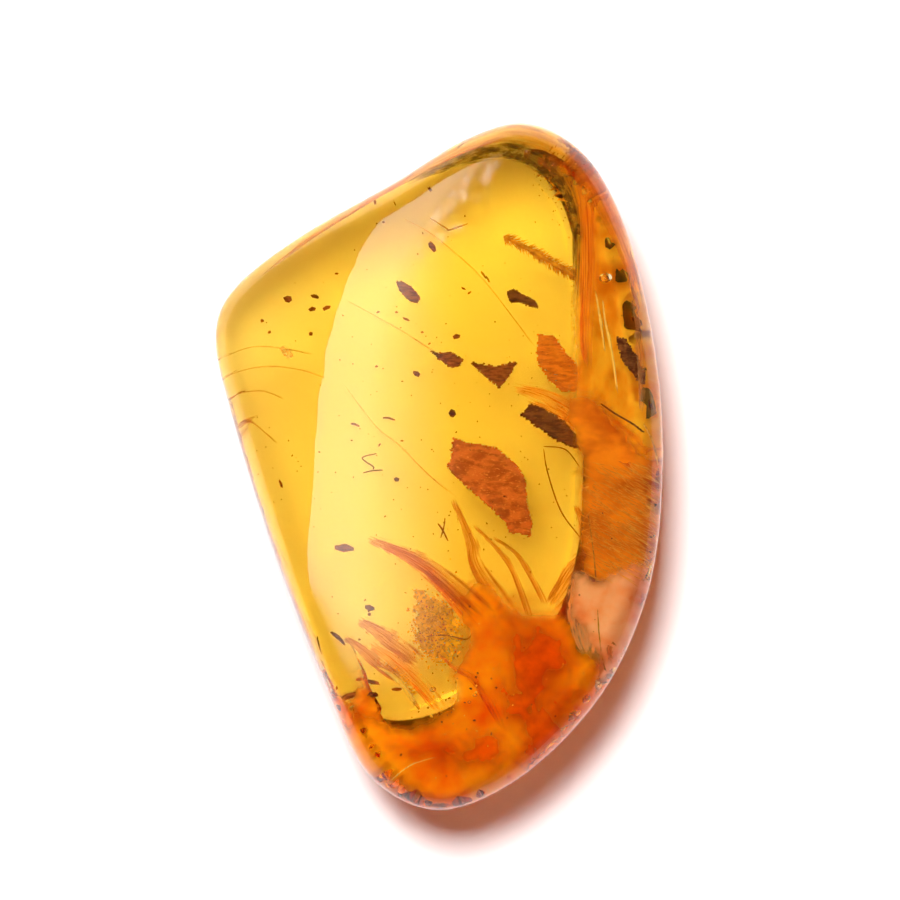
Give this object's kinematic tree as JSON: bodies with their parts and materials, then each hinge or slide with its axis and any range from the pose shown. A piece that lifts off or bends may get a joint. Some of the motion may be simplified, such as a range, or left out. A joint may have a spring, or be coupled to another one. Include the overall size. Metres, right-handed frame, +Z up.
{
  "type": "polished amber stone with inclusions",
  "caption": "Polished free-form amber pebble, clear golden yellow with orange ends, with plant fragments and insect remains sealed inside, lying on its ground flat.",
  "frame": {"origin": "on the table, under the middle of the stone's outline", "axes": "+Z up through the stone's thickness, +Y along its length towards the broad end, +X towards the thick side"},
  "size_m": [0.0312, 0.0476, 0.014],
  "materials": {
    "amber": "polished"
  },
  "bodies": {
    "root": {"amber_pebble": "amber"}
  },
  "joints": []
}
